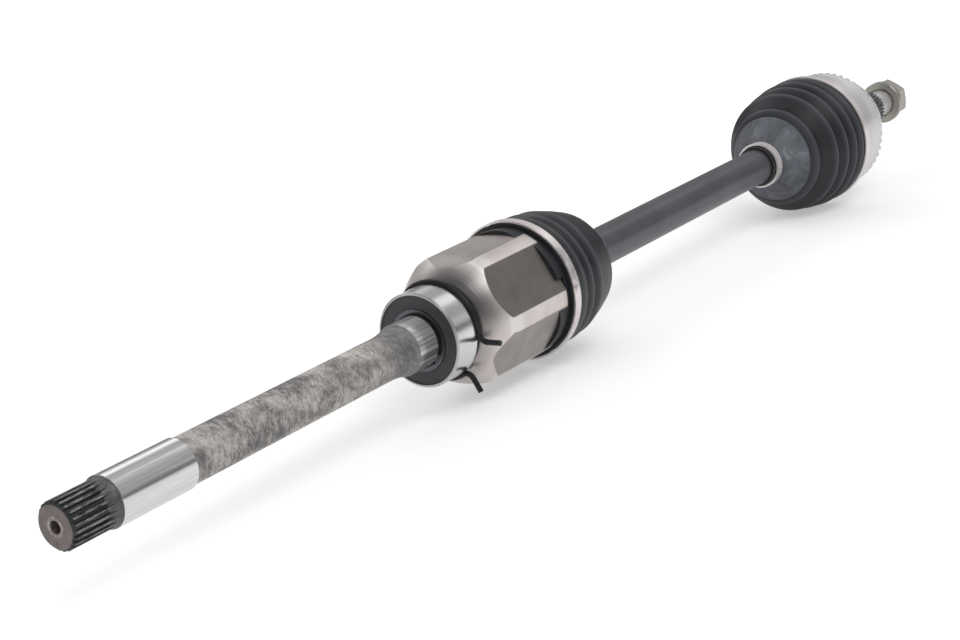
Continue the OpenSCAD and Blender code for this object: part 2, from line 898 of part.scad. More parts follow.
module centre_shaft() {
    er = shaft_end_d / 2;
    sr = shaft_d / 2;
    in_x = tripod_x + spider_w / 2;
    back_x = tripod_x - spider_w / 2;
    race_x = cv_x - race_w / 2;
    race_back_x = cv_x + race_w / 2;
    groove_w = clip_t + 2 * run_gap;
    step_x = 6;
    taper_in = 4;
    taper_out = 6;
    neck_len = 24;
    color([0.27, 0.28, 0.3])
        lathe([
            [shaft_in_x, 0], [shaft_in_x, er - clip_groove],
            [shaft_in_x + clip_groove, er], [back_x - groove_w, er],
            [back_x - groove_w, er - clip_groove], [back_x, er - clip_groove],
            [back_x, er], [in_x + step_x, er], [in_x + step_x + taper_in, sr],
            [race_x - neck_len - taper_out, sr], [race_x - neck_len, er],
            [race_back_x, er], [race_back_x, er - clip_groove],
            [race_back_x + groove_w, er - clip_groove], [race_back_x + groove_w, er],
            [shaft_out_x - clip_groove, er], [shaft_out_x, er - clip_groove],
            [shaft_out_x, 0]
        ]);
}

// The six meridian grooves that the balls run in, each side of the joint centre
module ball_grooves(reach_deg) {
    for (i = [0:cv_balls_n - 1])
        translate([cv_x, 0, 0])
            rotate([i * 360 / cv_balls_n, 0, 0])
                rotate([0, 0, 90 - reach_deg])
                    rotate_extrude(angle = 2 * reach_deg)
                        translate([ball_pitch_r, 0]) circle(r = groove_r);
}

// Places one copy at each ball of the fixed joint
module at_cv_balls() {
    for (i = [0:cv_balls_n - 1])
        translate([cv_x, 0, 0])
            rotate([i * 360 / cv_balls_n, 0, 0])
                translate([0, ball_pitch_r, 0]) children();
}

module cv_inner_race() {
    color("gray")
        difference() {
            intersection() {
                translate([cv_x, 0, 0]) along_x() sphere(r = cage_in_r - play);
                ring(cv_x - race_w / 2, race_w, 0, cage_in_r);
            }
            ring(cv_x - race_w, 2 * race_w, 0, shaft_end_d / 2);
            ball_grooves(groove_reach);
        }
}

module cv_cage() {
    window_r = cv_ball_r + 2 * run_gap;
    window_side = window_r + window_slack;
    window_cut = 3;
    color("darkgray")
        difference() {
            intersection() {
                translate([cv_x, 0, 0]) along_x() sphere(r = cage_out_r);
                ring(cv_x - cage_w / 2, cage_w, 0, cage_out_r + cut_over);
            }
            translate([cv_x, 0, 0]) along_x() sphere(r = cage_in_r);
            at_cv_balls()
                rotate([-90, 0, 0])
                    linear_extrude(cage_out_r, center = true)
                        polygon([
                            [window_r, window_side - window_cut],
                            [window_r - window_cut, window_side],
                            [window_cut - window_r, window_side],
                            [-window_r, window_side - window_cut],
                            [-window_r, window_cut - window_side],
                            [window_cut - window_r, -window_side],
                            [window_r - window_cut, -window_side],
                            [window_r, window_cut - window_side]
                        ]);
        }
}

module cv_balls() {
    color("silver")
        at_cv_balls() sphere(r = cv_ball_r);
}

module cv_bell() {
    mouth_x = cv_x - bell_mouth;
    sphere_r = cage_out_r + play;
    throat_deg = 114;
    throat_steps = 24;
    throat_x = cv_x + sphere_r * cos(throat_deg);
    throat_r = sphere_r * sin(throat_deg);
    shoulder_r = shoulder_d / 2;
    back_steps = 6;
    back = [for (i = [0:back_steps]) let (a = 90 * i / back_steps)
        [
            bell_back_x + (hub_x - bell_back_x) * sin(a),
            shoulder_r + edge + (sensor_seat_r - shoulder_r - edge) * cos(a)
        ]];
    hub_pilot_r = hub_spline_d / 2 + edge;
    minor_r = hub_spline_d / 2 - hub_tooth_h;
    thread_r = thread_d / 2;
    color("silver") {
        difference() {
            lathe(concat(
                [
                    [mouth_x, 0], [mouth_x, bell_r - edge], [mouth_x + edge, bell_r],
                    [sensor_x, bell_r], [sensor_x, sensor_seat_r]
                ],
                back,
                [
                    [hub_x, shoulder_r - edge], [hub_x, hub_pilot_r],
                    [hub_x + hub_pilot_len, hub_pilot_r],
                    [hub_x + hub_pilot_len + 2 * edge, minor_r],
                    [thread_x - 2 * thread_run_out, minor_r],
                    [thread_x - thread_run_out, thread_r], [stub_x - edge, thread_r],
                    [stub_x, thread_r - edge], [stub_x, 0]
                ]));
            lathe(concat(
                arc(cv_x, 0, sphere_r, 0, throat_deg, throat_steps),
                [
                    [mouth_x - cut_over, throat_r + throat_x - mouth_x + cut_over],
                    [mouth_x - cut_over, 0]
                ]));
            ball_grooves(groove_reach);
        }
        spline(hub_x + hub_pilot_len + 2 * edge, hub_spline_len - hub_pilot_len,
            hub_spline_d / 2, hub_tooth_h, hub_teeth, edge);
    }
}

module speed_sensor_ring() {
    pitch = 360 / sensor_teeth;
    slot_w = PI * sensor_d / sensor_teeth / 2;
    slot_h = 1.6;
    color("lightgray")
        difference() {
            ring(sensor_x + skin / 2, sensor_w, sensor_seat_r, sensor_d / 2);
            for (i = [0:sensor_teeth - 1])
                rotate([i * pitch, 0, 0])
                    translate([sensor_x + sensor_w - sensor_slot, sensor_d / 2 - slot_h,
                        -slot_w / 2])
                        cube([sensor_slot + cut_over, 2 * slot_h, slot_w]);
        }
}

module hub_nut() {
    flange_t = 5;
    rim = 0.8;
    crown = 3;
    recess_t = 3;
    flange_r = nut_flange_d / 2;
    corner_r = nut_af / 2 / cos(30);
    color([0.78, 0.72, 0.5])
        difference() {
            union() {
                lathe([
                    [nut_x, 0], [nut_x, flange_r - rim], [nut_x + rim, flange_r],
                    [nut_x + flange_t - rim, flange_r],
                    [nut_x + flange_t, nut_af / 2], [nut_x + flange_t, 0]
                ]);
                intersection() {
                    translate([nut_x + rim, 0, 0])
                        along_x() cylinder(h = nut_h - rim, r = corner_r, $fn = 6);
                    lathe([
                        [nut_x, 0], [nut_x, nut_af], [nut_x + nut_h - crown, corner_r + rim],
                        [nut_x + nut_h, nut_af / 2 - rim], [nut_x + nut_h, 0]
                    ]);
                }
            }
            ring(nut_x - cut_over, nut_h + 2 * cut_over, 0, thread_d / 2);
            ring(nut_x - cut_over, recess_t + cut_over, 0, thread_d / 2 + edge);
        }
}

tripod_housing();
bearing_circlip();
bearing_inner_ring();
bearing_balls();
bearing_cage();
bearing_outer_ring();
bearing_seal_front();
bearing_seal_rear();
bearing_snap_ring();
boot_adapter();
inner_large_clamp();
inner_boot();
inner_small_clamp();
tripod_spider();
roller_needles();
roller_retainers();
tripod_roller_1();
tripod_roller_2();
tripod_roller_3();
spider_circlip();
centre_shaft();
outer_boot();
outer_small_clamp();
outer_large_clamp();
cv_inner_race();
cv_race_circlip();
cv_cage();
cv_balls();
cv_bell();
speed_sensor_ring();
hub_nut();
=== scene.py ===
import math

import bpy
import bmesh
from mathutils import Matrix, Vector


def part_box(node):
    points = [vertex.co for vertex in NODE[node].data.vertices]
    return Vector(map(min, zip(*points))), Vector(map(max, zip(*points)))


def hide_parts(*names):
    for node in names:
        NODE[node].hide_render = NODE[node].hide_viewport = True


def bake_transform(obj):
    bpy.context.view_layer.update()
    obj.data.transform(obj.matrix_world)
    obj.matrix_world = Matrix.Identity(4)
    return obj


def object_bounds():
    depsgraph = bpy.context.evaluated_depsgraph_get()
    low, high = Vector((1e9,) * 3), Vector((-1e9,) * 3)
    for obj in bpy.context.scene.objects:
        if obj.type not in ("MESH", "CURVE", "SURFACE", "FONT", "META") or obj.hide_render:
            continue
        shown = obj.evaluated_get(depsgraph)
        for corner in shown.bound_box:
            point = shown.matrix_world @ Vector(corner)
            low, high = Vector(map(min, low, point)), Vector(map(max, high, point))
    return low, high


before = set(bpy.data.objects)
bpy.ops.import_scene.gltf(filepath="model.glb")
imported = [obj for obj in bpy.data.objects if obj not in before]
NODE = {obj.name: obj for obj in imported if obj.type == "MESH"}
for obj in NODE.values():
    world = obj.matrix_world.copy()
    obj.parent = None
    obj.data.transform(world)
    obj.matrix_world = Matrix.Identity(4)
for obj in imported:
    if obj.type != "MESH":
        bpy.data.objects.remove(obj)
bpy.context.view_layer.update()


def across(degrees):
    """Y and Z of the direction across the shaft at an angle from Y towards Z."""
    a = math.radians(degrees)
    return math.cos(a), math.sin(a)


# Places on the housing as in the CAD model, in metres: stations along the shaft end in X
# and radii in R. A pair gives where a finish, painted shade or painted highlight starts to show
# and where it is full.
# The painted highlight on the corners, along X, and the pale ring give its two ends, and the
# dome's own radii span the painted shade on its front, which gets paler outwards.
STUB_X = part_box("tripod_housing")[0].x
CENTRE_HOLE_X = (-0.30, -0.301)
COLLAR_START = -0.2922
COLLAR_X = -0.2842
JOURNAL_X = -0.2262
NEAR_FLARE_X = (-0.066, -0.044)
FLARE_X = -0.0302
SEAT_END_X = 0.0148
BODY_X = 0.0150
PITTED_X = (0.018, 0.022)
# the painted shade on the dome's front, then the painted highlight on its corners
SHADED_DOME_X = (0.0335, 0.028)
HIGHLIGHT_CORNER_X = (0.0275, 0.042)
PALE_RING_R = (0.0038, 0.0058)
DARK_HOLE_R = (0.0040, 0.0034)
CENTRE_HOLE_R = (0.0050, 0.0046)
SPLINE_CREST_R = (0.01375, 0.01398)
# the dome's painted shade and its middle ring of painted shade, then the corners' painted
# highlight
SHADED_DOME_R = (0.0325, 0.0435)
SHADED_DOME_MIDDLE_R = (0.039, 0.033)
HIGHLIGHT_CORNER_R = (0.0418, 0.0432)

# The milled flats: the angles that they face, and their distance from the axis. The fronts
# of the web flats curve inwards with the round radius, from the round station on.
TRACK_DIRS = (30, 150, 270)
TRACK_FLAT = 0.0404
WEB_DIRS = (90, 210, 330)
WEB_FLAT = 0.0410
WEB_ROUND_R = 0.040
WEB_ROUND_X = 0.0378
# how far their finish reaches under and over them
FLAT_REACH = (-0.0003, 0.0001)

# the side of the dome that gets the deepest painted shade, and the side of the inner bands with
# their lap
PAINTED_SHADE_SIDE = across(125)
LAP_SIDE = across(158)

# Stations on the other nodes, in metres: where the inner joint ends, as a fade, and the two
# ends of the painted bar, of the outer boot's dusty first cone and of the wheel hub's spline.
INNER_JOINT_X = (0.2, 0.19)
PAINTED_X = (0.118, 0.505)
DUSTY_CONE_X = (0.4465, 0.4630)
HUB_SPLINE_X = (0.5948, 0.646)

# The boots' outer lines in mm, as [x, radius, fillet] corners, and the station where the
# two halves of each meet.
INNER = [
    (96, 46.3, 0), (107, 46.3, 1), (112, 46.5, 3), (116.5, 44.9, 2.4), (122, 46.1, 2.6),
    (127, 43.5, 2.4), (133.5, 44.9, 3), (147, 41.2, 14), (159.5, 37.1, 4), (167, 20.5, 5),
    (175, 15.8, 2), (187, 15.8, 0),
]
INNER_MIDDLE = 140
OUTER = [
    (435.5, 15.8, 0), (447.5, 15.8, 2), (462, 34.2, 2.2), (465, 33, 1.2), (467.9, 40.8, 2.3),
    (472.1, 36.4, 1.8), (483.5, 49.2, 2.6), (488.9, 42.8, 2.2), (497.5, 51.6, 2.6),
    (502.5, 45, 2.2), (509.3, 53.2, 2.6), (514.9, 47, 2.2), (520.3, 52.4, 2.2),
    (524.3, 50.8, 0.8), (532.9, 50.8, 0),
]
OUTER_MIDDLE = 478

# The boots' meshes: wall and longest step along the line in mm, steps on each side of a
# fillet's middle, segments around, and the angle from which an edge stays hard.
BOOT_WALL = 2
LONGEST_STEP = 1.2
ARC_STEPS = 5
SEGMENTS = 128
SHARP_ANGLE = math.radians(42)
# half the width of the painted highlight on a fold's crest and of the painted shade in its valley,
# in metres
INNER_FOLD_LIGHT_HALF = 0.0032
OUTER_FOLD_LIGHT_HALF = 0.0040
# the mesh attribute that keeps the rest shape of a piece that bends
REST = "rest"

# the floor in metres: half its side, its gap under the object, the middle of its shadow
FLOOR_HALF = 8
FLOOR_GAP = 0.0005
SHADOW_X = 0.2

# directions in the studio: the dark place behind the camera, and two soft boxes
BEHIND_CAMERA = (-0.69, -0.23, 0.68)
UPPER_BOX = (0.764, -0.08, 0.64)
LOWER_BOX = (0.764, -0.585, 0.272)

# the camera that was fitted to the photo: its place in metres, its axes and its lens
CAMERA_PLACE = (-0.95546, -0.77106, 0.35982)
CAMERA_RIGHT = Vector((0.572211, -0.810335, -0.126908)).normalized()
CAMERA_LOOK = Vector((0.763798, 0.58271, -0.277197)).normalized()
LENS_MM = 76.94
SENSOR_MM = 36


def rgb(r, g, b):
    """Linear colour with alpha from 8-bit sRGB values."""
    out = []
    for v in (r, g, b):
        v /= 255
        out.append(v / 12.92 if v <= 0.04045 else ((v + 0.055) / 1.055) ** 2.4)
    return (*out, 1.0)


def layered(mix, base, *layers):
    """The base with the value of each (mask, value) layer mixed in where its mask is 1."""
    for mask, value in layers:
        base = mix(mask, base, value)
    return base


class Graph:
    """A node tree being built, over one kind of coordinate: an output of the texture
    coordinate node, or the rest shape of a piece that bends."""

    def __init__(self, tree, kind):
        self.tree = tree
        if kind == REST:
            source = tree.nodes.new("ShaderNodeAttribute")
            source.attribute_name = REST
            self.place = source.outputs["Vector"]
        else:
            self.place = tree.nodes.new("ShaderNodeTexCoord").outputs[kind]
        split = tree.nodes.new("ShaderNodeSeparateXYZ")
        self.link(self.place, split.inputs[0])
        self.x, self.y, self.z = split.outputs

    def link(self, output, socket):
        """Feeds a socket from another node's output."""
        self.tree.links.new(output, socket)

    def put(self, socket, value):
        """Feeds a socket from an output, or sets it to a plain value."""
        if isinstance(value, bpy.types.NodeSocket):
            self.link(value, socket)
        else:
            socket.default_value = value

    def calc(self, operation, *values):
        """Result of one math node."""
        n = self.tree.nodes.new("ShaderNodeMath")
        n.operation = operation
        for socket, value in zip(n.inputs, values):
            self.put(socket, value)
        return n.outputs[0]

    def plus(self, a, b):
        return self.calc("ADD", a, b)

    def minus(self, a, b):
        return self.calc("SUBTRACT", a, b)

    def larger(self, a, b):
        return self.calc("MAXIMUM", a, b)

    def times(self, product, *factors):
        """Product of two or more values."""
        for factor in factors:
            product = self.calc("MULTIPLY", product, factor)
        return product

    def length(self, a, b):
        """Length of the flat vector (a, b)."""
        return self.calc("SQRT", self.plus(self.times(a, a), self.times(b, b)))

    def radius(self):
        """Distance from the shaft's axis."""
        return self.length(self.y, self.z)

    def along(self, u, v, w):
        """Distance of the point along the direction (u, v, w)."""
        n = self.tree.nodes.new("ShaderNodeVectorMath")
        n.operation = "DOT_PRODUCT"
        self.link(self.place, n.inputs[0])
        n.inputs[1].default_value = (u, v, w)
        return n.outputs["Value"]

    def facing(self, u, v):
        """How much the point lies on the side (u, v) of the shaft, up to 1. The radius is
        kept off zero."""
        return self.calc("DIVIDE", self.along(0, u, v), self.larger(self.radius(), 0.001))

    def step(self, v, start, end):
        """0 before the start, 1 past the end, smooth between. The end may be the smaller."""
        n = self.tree.nodes.new("ShaderNodeMapRange")
        n.interpolation_type = "SMOOTHSTEP"
        for socket, value in zip(n.inputs, (v, start, end, 0.0, 1.0)):
            self.put(socket, value)
        return n.outputs[0]

    def between(self, v, low, high, soft):
        """1 where low < v < high, with soft edges."""
        return self.times(self.step(v, low - soft, low + soft),
                          self.step(v, high + soft, high - soft))

    def ramp(self, v, *stops):
        """Colour at v on a ramp of (position, colour or grey level) stops."""
        n = self.tree.nodes.new("ShaderNodeValToRGB")
        self.put(n.inputs[0], v)
        elements = n.color_ramp.elements
        while len(elements) < len(stops):
            elements.new(0.5)
        for element, (position, colour) in zip(elements, stops):
            element.position = position
            if not isinstance(colour, tuple):
                colour = (colour, colour, colour, 1)
            element.color = colour
        return n.outputs[0]

    def tones(self, v, a, b, start=0.3, end=0.7):
        """Colour that goes from a to b as v goes from the start to the end."""
        return self.ramp(v, (start, a), (end, b))

    def noise(self, scale, detail=4.0, rough=0.55, stretch=(1, 1, 1), distortion=0.0):
        """A noise over the coordinate, which is first multiplied by the stretch."""
        stretched = self.tree.nodes.new("ShaderNodeMapping")
        stretched.inputs["Scale"].default_value = stretch
        self.link(self.place, stretched.inputs[0])
        n = self.tree.nodes.new("ShaderNodeTexNoise")
        self.link(stretched.outputs[0], n.inputs["Vector"])
        n.inputs["Scale"].default_value = scale
        n.inputs["Detail"].default_value = detail
        n.inputs["Roughness"].default_value = rough
        n.inputs["Distortion"].default_value = distortion
        return n.outputs["Fac"]

    def mix(self, share, a, b):
        """Colour a with a share of colour b."""
        n = self.tree.nodes.new("ShaderNodeMix")
        n.data_type = "RGBA"
        for socket, value in zip((n.inputs[0], n.inputs[6], n.inputs[7]), (share, a, b)):
            self.put(socket, value)
        return n.outputs[2]

    def lerp(self, share, a, b):
        """Number a with a share of number b."""
        n = self.tree.nodes.new("ShaderNodeMix")
        n.data_type = "FLOAT"
        for socket, value in zip((n.inputs[0], n.inputs[2], n.inputs[3]), (share, a, b)):
            self.put(socket, value)
        return n.outputs[0]


class Shade(Graph):
    """A material being built from nodes, in the object's own metres."""

    def __init__(self, name, kind="Object", metallic=0.0):
        self.mat = bpy.data.materials.new(name)
        self.mat.use_nodes = True
        self.bsdf = self.mat.node_tree.nodes["Principled BSDF"]
        super().__init__(self.mat.node_tree, kind)
        self.set("Metallic", metallic)

    def set(self, name, value):
        """Feeds or sets an input of the surface."""
        self.put(self.bsdf.inputs[name], value)

    def fed_by(self, name):
        """The output that feeds an input of the surface."""
        return self.bsdf.inputs[name].links[0].from_socket

    def bump(self, height, distance, strength=1.0):
        """Relief from a height, with its depth in metres."""
        n = self.tree.nodes.new("ShaderNodeBump")
        n.inputs["Strength"].default_value = strength
        n.inputs["Distance"].default_value = distance
        self.link(height, n.inputs["Height"])
        self.link(n.outputs[0], self.bsdf.inputs["Normal"])


def lathe_marks(s, stain):
    """Fine turning rings across the axis, with the stain slightly raised."""
    section = s.tree.nodes.new("ShaderNodeCombineXYZ")
    s.put(section.inputs[0], s.x)
    s.put(section.inputs[1], s.radius())
    rings = s.tree.nodes.new("ShaderNodeTexNoise")
    s.link(section.outputs[0], rings.inputs["Vector"])
    rings.inputs["Scale"].default_value = 2600
    rings.inputs["Detail"].default_value = 3
    s.bump(s.plus(rings.outputs["Fac"], s.times(stain, 0.5)), 0.00001)


def streaked(s, colour, scale, amount):
    """The colour with fine streaks along the shaft: grinding marks, and where they are strong, as
    on the journal, painted reflection too.
    """
    streak = s.noise(scale, 3, 0.7, stretch=(0.03, 1, 1))
    n = s.tree.nodes.new("ShaderNodeVectorMath")
    n.operation = "SCALE"
    s.put(n.inputs[0], colour)
    s.put(n.inputs["Scale"], s.lerp(streak, 1 - amount, 1 + amount))
    return n.outputs[0]


def steel(name, colour, rough, spread=0.06, dark=0.85, scale=60, metallic=1.0, turned=False):
    """Steel with faint stains, and with turning marks where it is turned."""
    s = Shade(name, metallic=metallic)
    stain = s.noise(scale, 5, 0.6)
    stained = tuple(c * dark for c in colour[:3]) + (1,)
    s.set("Base Color", s.tones(stain, stained, colour, end=0.62))
    s.set("Roughness", s.lerp(s.noise(scale * 4, 3), rough - spread, rough + spread))
    if turned:
        lathe_marks(s, stain)
    return s.mat


def rubber(name, colour, dust, rough, kind="Object"):
    """Matt rubber with a faint dust and a fine grain, as a shade that can take more."""
    s = Shade(name, kind)
    cloud = s.noise(35, 6, 0.65)
    s.set("Base Color", s.tones(cloud, colour, dust, 0.35, 0.75))
    s.set("Roughness", s.lerp(cloud, rough - 0.07, rough + 0.12))
    s.set("Specular IOR Level", 0.45)
    s.bump(s.plus(s.noise(900, 3, 0.6), s.times(cloud, 0.6)), 0.00004)
    return s


def web_level(s):
    """Distance of the web flats from the axis, with their fronts curved inwards."""
    lead = s.larger(s.minus(WEB_ROUND_X, s.x), 0.0)
    arc = s.calc("SQRT", s.larger(s.minus(WEB_ROUND_R ** 2, s.times(lead, lead)), 0.0))
    return s.plus(arc, WEB_FLAT - WEB_ROUND_R)


def flat_mask(s, directions, level):
    """Mask of the housing's flats that face the directions at one distance from the axis."""
    mask = 0.0
    for degrees in directions:
        above = s.minus(s.along(0, *across(degrees)), level)
        mask = s.larger(mask, s.between(above, *FLAT_REACH, 0.00003))
    return s.times(mask, s.step(s.x, BODY_X, BODY_X + 0.0004))


def pit_mask(s):
    """Mask of the sparse forging pits on the body."""
    cells = s.tree.nodes.new("ShaderNodeTexVoronoi")
    cells.inputs["Scale"].default_value = 95
    s.link(s.place, cells.inputs["Vector"])
    sparse = s.step(s.noise(30, 2), 0.58, 0.66)
    return s.times(s.step(cells.outputs["Distance"], 0.11, 0.05), sparse, s.step(s.x, *PITTED_X))


def body_colour(s, r, flats, tracks, pits):
    """Satin dome with painted shade towards the bearing, deepest on one side, painted highlights
    on its corners, milled flats and pits.
    """
    satin = s.tones(s.noise(45, 5, 0.6), rgb(210, 202, 199), rgb(232, 224, 221))
    # painted shade: the dome's front darkens towards the bearing
    shade = s.ramp(s.step(r, *SHADED_DOME_R), (0.0, rgb(74, 73, 75)), (0.45, rgb(120, 118, 118)),
                   (0.8, rgb(180, 177, 174)), (1.0, rgb(214, 210, 206)))
    painted_shade_side = s.step(s.facing(*PAINTED_SHADE_SIDE), 0.3, 0.95)
    # painted highlight: pale corners of the dome
    corner = s.times(s.between(s.x, *HIGHLIGHT_CORNER_X, 0.004), s.step(r, *HIGHLIGHT_CORNER_R))
    web = s.tones(s.noise(60, 4, 0.5), rgb(156, 149, 146), rgb(176, 170, 167))
    track = s.tones(s.noise(70, 4, 0.5), rgb(116, 110, 105), rgb(130, 124, 119))
    # painted shade over the front on its dark side and faintly all round its middle, then the
    # corners' painted highlight
    return layered(s.mix, satin,
                   (s.times(painted_shade_side, s.step(s.x, *SHADED_DOME_X), 0.85), shade),
                   (s.times(s.step(r, *SHADED_DOME_MIDDLE_R), 0.35), rgb(120, 117, 115)),
                   (s.times(corner, 0.8), rgb(238, 234, 230)),
                   (flats, web),
                   (tracks, track),
                   (s.times(pits, 0.75), rgb(70, 64, 60)))


def raw_colour(s, big, streak, fine):
    """Bare forged bar: beige flecks across the axis, grey clouds, dark smudges, and a
    darker end at the flare."""
    tone = s.plus(s.times(big, 0.5), s.times(streak, 0.5))
    mottled = s.ramp(tone, (0.41, rgb(104, 103, 105)), (0.47, rgb(146, 142, 140)),
                     (0.52, rgb(189, 184, 179)), (0.62, rgb(224, 217, 210)))
    cloud = s.step(s.noise(75, 3, 0.5, stretch=(0.8, 1, 1)), 0.52, 0.66)
    patch = s.noise(230, 5, 0.66, stretch=(1.3, 0.55, 0.55))
    near_flare = s.step(s.x, *NEAR_FLARE_X)
    return layered(s.mix, mottled,
                   (s.times(s.step(fine, 0.54, 0.66), 0.4), rgb(122, 119, 119)),
                   (s.times(cloud, 0.55), rgb(104, 104, 107)),
                   (s.times(s.step(patch, 0.5, 0.64), 0.42), rgb(220, 214, 208)),
                   (s.times(s.step(patch, 0.47, 0.34), 0.5), rgb(88, 87, 89)),
                   (s.times(near_flare, 0.6), rgb(112, 111, 115)),
                   (s.times(near_flare, s.step(big, 0.5, 0.62), 0.7), rgb(74, 74, 78)))


def journal_colour(s):
    """Ground journal of the gearbox seal, with streaks along the axis that are partly grinding
    marks and partly painted reflection.
    """
    cloud = s.noise(12, 3, stretch=(0.1, 3, 3))
    return streaked(s, s.tones(cloud, rgb(196, 196, 199), rgb(222, 221, 222)), 700, 0.34)


def stub_end_colour(s, r):
    """Dark spline with worn crests, grey collar."""
    valley = s.tones(s.noise(260, 4, 0.7, stretch=(0.4, 1, 1)), rgb(44, 46, 49), rgb(76, 78, 81),
                     start=0.42)
    worn = s.step(s.noise(420, 4, 0.75, stretch=(0.25, 1, 1)), 0.4, 0.6)
    collar = s.step(s.x, COLLAR_START - 0.0006, COLLAR_START + 0.0004)
    grey = s.tones(s.noise(500, 4, 0.7), rgb(82, 82, 85), rgb(106, 106, 109), 0.35, 0.65)
    return layered(s.mix, valley,
                   (s.times(s.step(r, *SPLINE_CREST_R), worn, 0.85), rgb(150, 151, 153)),
                   (collar, grey))


def face_colour(s, r):
    """Sawn end face with the pale ring round the dark centre hole."""
    sawn = s.tones(s.noise(190, 5, 0.6), rgb(100, 92, 90), rgb(130, 120, 117))
    ring = s.times(s.between(r, *PALE_RING_R, 0.0008), s.step(s.noise(300, 3), 0.35, 0.6))
    return layered(s.mix, sawn,
                   (s.times(ring, 0.7), rgb(186, 176, 172)),
                   (s.step(r, *DARK_HOLE_R), rgb(66, 58, 55)))


def housing_finish():
    """One forging with its finishes: sawn face, dark spline and collar, ground journal with
    streaks that are partly painted reflection, raw bar, turned seat with painted reflection
    stripes, satin dome with painted shade and painted highlights, milled flats."""
    s = Shade("forged_housing")
    r = s.radius()
    big = s.noise(42, 5, 0.6, stretch=(0.8, 1.1, 1.1))
    streak = s.noise(650, 6, 0.74, stretch=(1.5, 0.62, 0.62))
    fine = s.noise(1700, 4, 0.65, stretch=(1.4, 0.5, 0.5))
    tracks = flat_mask(s, TRACK_DIRS, TRACK_FLAT)
    flats = s.larger(tracks, flat_mask(s, WEB_DIRS, web_level(s)))
    pits = pit_mask(s)

    in_hole = s.times(s.step(r, *CENTRE_HOLE_R), s.step(s.x, *CENTRE_HOLE_X))
    is_face = s.larger(s.step(s.x, STUB_X + 0.00025, STUB_X + 0.0001), in_hole)
    is_dark = s.step(s.x, COLLAR_X + 0.0006, COLLAR_X + 0.0002)
    is_journal = s.between(s.x, COLLAR_X + 0.0004, JOURNAL_X, 0.0002)
    is_raw = s.between(s.x, JOURNAL_X, FLARE_X, 0.0003)
    is_seat = s.between(s.x, FLARE_X, SEAT_END_X, 0.0002)
    is_body = s.step(s.x, SEAT_END_X, SEAT_END_X + 0.0004)

    # painted reflection: light and dark stripes along the axis stand in for the turned seat's
    # reflections
    turned = s.ramp(s.noise(105, 2, 0.5, stretch=(0.02, 1, 1)),
                    (0.36, rgb(134, 133, 136)), (0.46, rgb(224, 221, 221)),
                    (0.55, rgb(156, 155, 158)), (0.66, rgb(228, 225, 224)))
    s.set("Base Color", layered(s.mix, body_colour(s, r, flats, tracks, pits),
                                (is_seat, turned),
                                (is_raw, raw_colour(s, big, streak, fine)),
                                (is_journal, journal_colour(s)),
                                (is_dark, stub_end_colour(s, r)),
                                (is_face, face_colour(s, r))))
    s.set("Metallic", layered(s.lerp, s.lerp(is_body, 0.95, 0.62),
                              (is_seat, 0.5), (is_raw, 0.28), (is_dark, 0.4), (flats, 0.4)))
    s.set("Roughness", layered(s.lerp, s.lerp(s.larger(is_seat, is_journal), 0.36, 0.2),
                               (flats, 0.46),
                               (is_raw, s.lerp(streak, 0.42, 0.66)),
                               (is_dark, 0.44)))
    grain = s.times(s.plus(streak, fine), s.plus(is_raw, 0.05))
    s.bump(s.minus(grain, s.times(pits, 1.5)), 0.0001, 0.8)
    return s.mat


def ground_bearing(s):
    """Colour and roughness of ground bearing steel."""
    base = s.tones(s.noise(30, 4, 0.6), rgb(204, 204, 207), rgb(226, 226, 228))
    return streaked(s, base, 420, 0.12), s.lerp(s.noise(120, 3), 0.2, 0.27)


def bearing_finish():
    """Ground bearing steel with streaks along the axis."""
    s = Shade("bearing_bright", metallic=1.0)
    colour, rough = ground_bearing(s)
    s.set("Base Color", colour)
    s.set("Roughness", rough)
    return s.mat


def outer_ring_finish():
    """The ground outer ring, duller on its turned front face."""
    s = Shade("bearing_outer_ring", metallic=1.0)
    colour, rough = ground_bearing(s)
    front_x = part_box("bearing_outer_ring")[0].x
    face = s.step(s.x, front_x + 0.0012, front_x + 0.0006)
    s.set("Base Color", s.mix(face, colour, rgb(186, 185, 186)))
    s.set("Roughness", s.lerp(face, rough, 0.42))
    return s.mat


def inner_ring_finish():
    """Inner bearing ring, with painted shade on its face and a painted highlight on its outer
    edge.
    """
    s = Shade("bearing_inner_ring", metallic=0.9)
    lip_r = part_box("bearing_inner_ring")[1].z
    # painted shade on the ring's face, and a painted highlight on its outer edge
    rim = s.step(s.radius(), lip_r - 0.0006, lip_r - 0.0002)
    s.set("Base Color", s.mix(rim, rgb(98, 98, 102), rgb(205, 205, 208)))
    s.set("Roughness", s.lerp(s.noise(120, 3), 0.28, 0.36))
    return s.mat


def band_finish():
    """Stainless band, clean and pale, with the grey lap of the inner joint's bands."""
    s = Shade("band_bright", metallic=0.4)
    base = s.tones(s.noise(26, 3, 0.5), rgb(232, 224, 223), rgb(248, 241, 240))
    lap = s.times(s.step(s.facing(*LAP_SIDE), 0.945, 0.965), s.step(s.x, *INNER_JOINT_X),
                  s.step(s.noise(160, 4, 0.6), 0.3, 0.62))
    s.set("Base Color", s.mix(s.times(lap, 0.6), base, rgb(150, 149, 148)))
    s.set("Roughness", s.lerp(s.noise(90, 3), 0.24, 0.34))
    return s.mat


